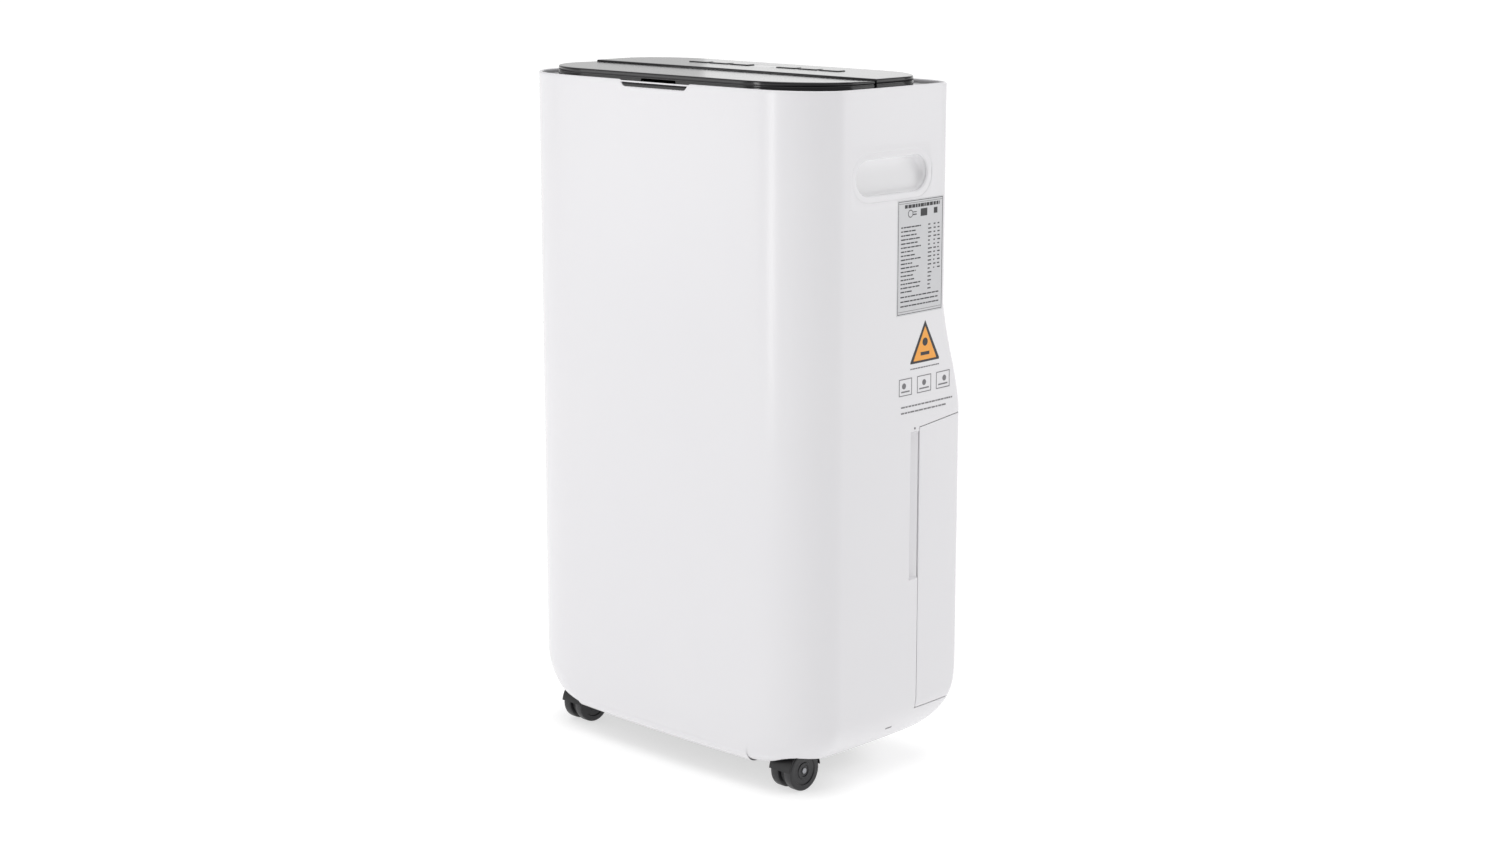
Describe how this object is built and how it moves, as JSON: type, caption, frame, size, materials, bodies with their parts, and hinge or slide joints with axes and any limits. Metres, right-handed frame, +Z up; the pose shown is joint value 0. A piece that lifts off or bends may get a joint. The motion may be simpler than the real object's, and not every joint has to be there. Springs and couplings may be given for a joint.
{
  "type": "dehumidifier",
  "caption": "Free-standing room dehumidifier: rounded cabinet on twin-wheel casters, lift-up air outlet flap, touch keys, side handle pockets and a water tank that slides out of the back.",
  "frame": {"origin": "centre of the overall box at floor level, under the casters", "axes": "+Z up, -Y towards the front, +X to the right seen from the front's own right side (the viewer's right when looking along +Y)"},
  "size_m": [0.3696, 0.2138, 0.616],
  "materials": {
    "white_plastic": "satin moulded ABS",
    "grey_plastic": "satin silver-grey moulded ABS",
    "black_plastic": "fine textured black plastic",
    "wheel_plastic": "hard nylon with a worn tread",
    "smoke_plastic": "smoke-tinted translucent polypropylene",
    "steel": "zinc-plated steel",
    "black_enamel": "black enamelled steel",
    "copper": "drawn copper tube",
    "fin_aluminium": "bare pressed fins",
    "rubber": "matt moulded rubber",
    "circuit_board": "green solder mask",
    "filter_mesh": "woven nylon dust mesh"
  },
  "bodies": {
    "cabinet": {"outer_shell": "white_plastic", "rear_panel": "white_plastic", "base_pan": "black_plastic", "tank_bay_liner": "black_plastic", "top_deck": "grey_plastic", "control_panel": "grey_plastic", "handle_cup_left": "white_plastic", "handle_cup_right": "white_plastic", "compressor": "black_enamel", "compressor_grommet_1": "rubber", "compressor_grommet_2": "rubber", "compressor_grommet_3": "rubber", "accumulator": "black_enamel", "condenser_coil": "fin_aluminium", "evaporator_coil": "fin_aluminium", "discharge_line": "copper", "suction_line": "copper", "capillary_tube": "copper", "drip_tray": "white_plastic", "drain_plug": "rubber", "fan_housing": "black_plastic", "fan_motor": "steel", "control_box": "white_plastic", "run_capacitor": "white_plastic", "display_board": "circuit_board", "tank_switch": "black_plastic", "cord_gland": "rubber"},
    "flap": {"outlet_flap": "grey_plastic", "flap_pin_left": "steel", "flap_pin_right": "steel"},
    "key_1": {"button_1": "black_plastic"},
    "key_2": {"button_2": "black_plastic"},
    "key_3": {"button_3": "black_plastic"},
    "key_4": {"button_4": "black_plastic"},
    "key_5": {"button_5": "black_plastic"},
    "key_6": {"button_6": "black_plastic"},
    "tank": {"water_tank": "smoke_plastic", "tank_lid": "white_plastic", "tank_cover": "white_plastic"},
    "tank_bail": {"tank_handle": "grey_plastic"},
    "float": {"tank_float": "white_plastic"},
    "filter": {"filter_frame": "white_plastic", "filter_mesh": "filter_mesh"},
    "blower": {"fan_wheel": "black_plastic"},
    "caster_front_left": {"caster_front_left_fork": "black_plastic", "caster_front_left_axle": "steel"},
    "wheel_front_left_left": {"caster_front_left_wheel_left": "wheel_plastic"},
    "wheel_front_left_right": {"caster_front_left_wheel_right": "wheel_plastic"},
    "caster_front_right": {"caster_front_right_fork": "black_plastic", "caster_front_right_axle": "steel"},
    "wheel_front_right_left": {"caster_front_right_wheel_left": "wheel_plastic"},
    "wheel_front_right_right": {"caster_front_right_wheel_right": "wheel_plastic"},
    "caster_rear_left": {"caster_rear_left_fork": "black_plastic", "caster_rear_left_axle": "steel"},
    "wheel_rear_left_left": {"caster_rear_left_wheel_left": "wheel_plastic"},
    "wheel_rear_left_right": {"caster_rear_left_wheel_right": "wheel_plastic"},
    "caster_rear_right": {"caster_rear_right_fork": "black_plastic", "caster_rear_right_axle": "steel"},
    "wheel_rear_right_left": {"caster_rear_right_wheel_left": "wheel_plastic"},
    "wheel_rear_right_right": {"caster_rear_right_wheel_right": "wheel_plastic"}
  },
  "joints": [
    {"name": "flap_hinge", "type": "hinge", "parent": "cabinet", "child": "flap", "pos_m": [0, -0.0206, 0.6105], "axis": [-1, 0, 0], "range_deg": [0, 80]},
    {"name": "key_1_press", "type": "slide", "parent": "cabinet", "child": "key_1", "axis": [0, 0, -1], "range_m": [0, 0.001], "stiffness_N_per_m": 300, "springref_m": -0.001},
    {"name": "key_2_press", "type": "slide", "parent": "cabinet", "child": "key_2", "axis": [0, 0, -1], "range_m": [0, 0.001], "stiffness_N_per_m": 300, "springref_m": -0.001},
    {"name": "key_3_press", "type": "slide", "parent": "cabinet", "child": "key_3", "axis": [0, 0, -1], "range_m": [0, 0.001], "stiffness_N_per_m": 300, "springref_m": -0.001},
    {"name": "key_4_press", "type": "slide", "parent": "cabinet", "child": "key_4", "axis": [0, 0, -1], "range_m": [0, 0.001], "stiffness_N_per_m": 300, "springref_m": -0.001},
    {"name": "key_5_press", "type": "slide", "parent": "cabinet", "child": "key_5", "axis": [0, 0, -1], "range_m": [0, 0.001], "stiffness_N_per_m": 300, "springref_m": -0.001},
    {"name": "key_6_press", "type": "slide", "parent": "cabinet", "child": "key_6", "axis": [0, 0, -1], "range_m": [0, 0.001], "stiffness_N_per_m": 300, "springref_m": -0.001},
    {"name": "tank_slide", "type": "slide", "parent": "cabinet", "child": "tank", "axis": [0, 1, 0], "range_m": [0, 0.115]},
    {"name": "tank_handle_swing", "type": "hinge", "parent": "tank", "child": "tank_bail", "pos_m": [0, 0.046, 0.278], "axis": [1, 0, 0], "range_deg": [0, 90]},
    {"name": "float_rise", "type": "slide", "parent": "tank", "child": "float", "axis": [0, 0, 1], "range_m": [0, 0.03]},
    {"name": "filter_pull", "type": "slide", "parent": "cabinet", "child": "filter", "axis": [0, 1, 0], "range_m": [0, 0.05]},
    {"name": "fan_spin", "type": "hinge", "parent": "cabinet", "child": "blower", "pos_m": [0, -0.086, 0.452], "axis": [0, 1, 0], "continuous": true},
    {"name": "caster_front_left_swivel", "type": "hinge", "parent": "cabinet", "child": "caster_front_left", "pos_m": [-0.1355, -0.067, 0.053], "axis": [0, 0, 1], "continuous": true},
    {"name": "wheel_front_left_left_spin", "type": "hinge", "parent": "caster_front_left", "child": "wheel_front_left_left", "pos_m": [-0.1355, -0.071, 0.018], "axis": [1, 0, 0], "continuous": true},
    {"name": "wheel_front_left_right_spin", "type": "hinge", "parent": "caster_front_left", "child": "wheel_front_left_right", "pos_m": [-0.1355, -0.071, 0.018], "axis": [1, 0, 0], "continuous": true},
    {"name": "caster_front_right_swivel", "type": "hinge", "parent": "cabinet", "child": "caster_front_right", "pos_m": [0.1355, -0.067, 0.053], "axis": [0, 0, 1], "continuous": true},
    {"name": "wheel_front_right_left_spin", "type": "hinge", "parent": "caster_front_right", "child": "wheel_front_right_left", "pos_m": [0.1355, -0.071, 0.018], "axis": [1, 0, 0], "continuous": true},
    {"name": "wheel_front_right_right_spin", "type": "hinge", "parent": "caster_front_right", "child": "wheel_front_right_right", "pos_m": [0.1355, -0.071, 0.018], "axis": [1, 0, 0], "continuous": true},
    {"name": "caster_rear_left_swivel", "type": "hinge", "parent": "cabinet", "child": "caster_rear_left", "pos_m": [-0.084, 0.036, 0.053], "axis": [0, 0, 1], "continuous": true},
    {"name": "wheel_rear_left_left_spin", "type": "hinge", "parent": "caster_rear_left", "child": "wheel_rear_left_left", "pos_m": [-0.084, 0.032, 0.018], "axis": [1, 0, 0], "continuous": true},
    {"name": "wheel_rear_left_right_spin", "type": "hinge", "parent": "caster_rear_left", "child": "wheel_rear_left_right", "pos_m": [-0.084, 0.032, 0.018], "axis": [1, 0, 0], "continuous": true},
    {"name": "caster_rear_right_swivel", "type": "hinge", "parent": "cabinet", "child": "caster_rear_right", "pos_m": [0.084, 0.036, 0.053], "axis": [0, 0, 1], "continuous": true},
    {"name": "wheel_rear_right_left_spin", "type": "hinge", "parent": "caster_rear_right", "child": "wheel_rear_right_left", "pos_m": [0.084, 0.032, 0.018], "axis": [1, 0, 0], "continuous": true},
    {"name": "wheel_rear_right_right_spin", "type": "hinge", "parent": "caster_rear_right", "child": "wheel_rear_right_right", "pos_m": [0.084, 0.032, 0.018], "axis": [1, 0, 0], "continuous": true}
  ]
}
